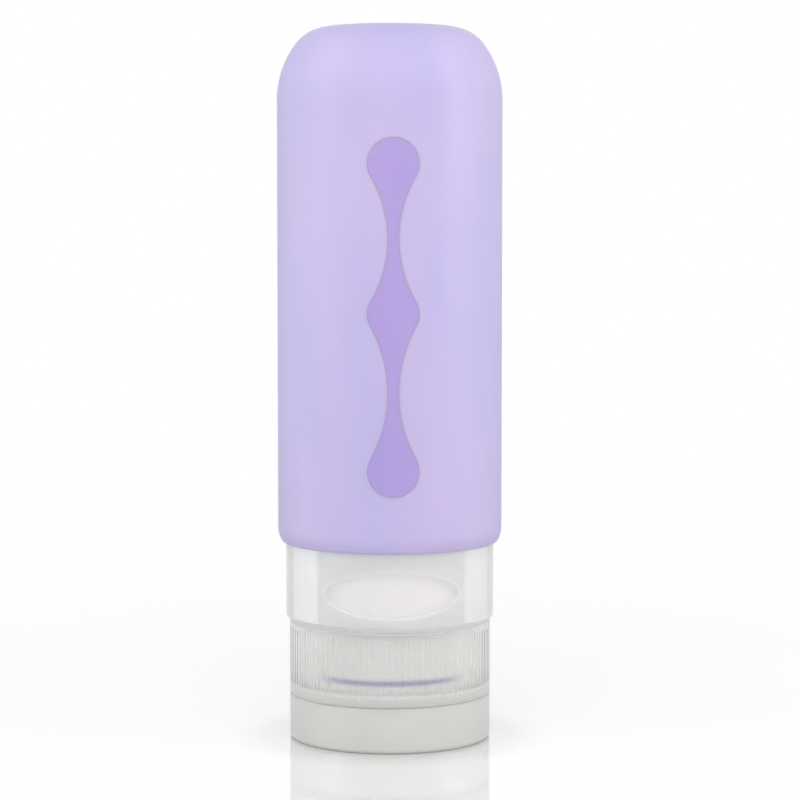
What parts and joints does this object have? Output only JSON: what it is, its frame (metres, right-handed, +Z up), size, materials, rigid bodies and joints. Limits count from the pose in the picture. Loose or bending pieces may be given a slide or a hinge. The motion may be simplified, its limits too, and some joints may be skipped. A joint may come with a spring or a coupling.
{
  "type": "travel squeeze bottle",
  "caption": "Soft silicone squeeze bottle for toiletries, standing on its flip lid, with a windowed collar, a turning label ring, a ribbed screw cap and a drip valve.",
  "frame": {"origin": "centre of the lid's flat underside, on which the closed bottle stands", "axes": "+Z up along the bottle's axis, -Y towards the window and the drop inlay, +Y towards the lid's hinge"},
  "size_m": [0.044, 0.044, 0.1395],
  "materials": {
    "silicone_lavender": "satin translucent silicone",
    "silicone_violet": "satin silicone",
    "frosted_plastic": "frosted translucent",
    "gloss_frosted_plastic": "translucent, polished outside",
    "natural_plastic": "natural milky",
    "white_plastic": "smooth matt white",
    "clear_silicone": "clear soft silicone"
  },
  "bodies": {
    "bottle": {"silicone_body": "silicone_lavender", "drop_grip": "silicone_violet", "neck": "natural_plastic", "collar": "gloss_frosted_plastic", "retaining_ring": "natural_plastic"},
    "label": {"label_ring": "white_plastic"},
    "seal": {"gasket": "silicone_violet"},
    "cap": {"cap_base": "frosted_plastic", "drip_valve": "clear_silicone", "valve_retainer": "natural_plastic"},
    "lid": {"flip_lid": "frosted_plastic"}
  },
  "joints": [
    {"name": "label_turn", "type": "hinge", "parent": "bottle", "child": "label", "pos_m": [0, 0, 0.03045], "axis": [0, 0, 1], "continuous": true},
    {"name": "cap_travel", "type": "slide", "parent": "bottle", "child": "seal", "axis": [0, 0, -1], "range_m": [0, 0.00917]},
    {"name": "cap_unscrew", "type": "hinge", "parent": "seal", "child": "cap", "pos_m": [0, 0, 0.0156], "axis": [0, 0, -1], "range_deg": [0, 1100]},
    {"name": "lid_flip", "type": "hinge", "parent": "cap", "child": "lid", "pos_m": [0, 0.01995, 0.00885], "axis": [1, 0, 0], "range_deg": [0, 150]}
  ],
  "couplings": [
    {"joint": "cap_travel", "follows": "cap_unscrew", "m_per_rad": 0.00047746}
  ]
}
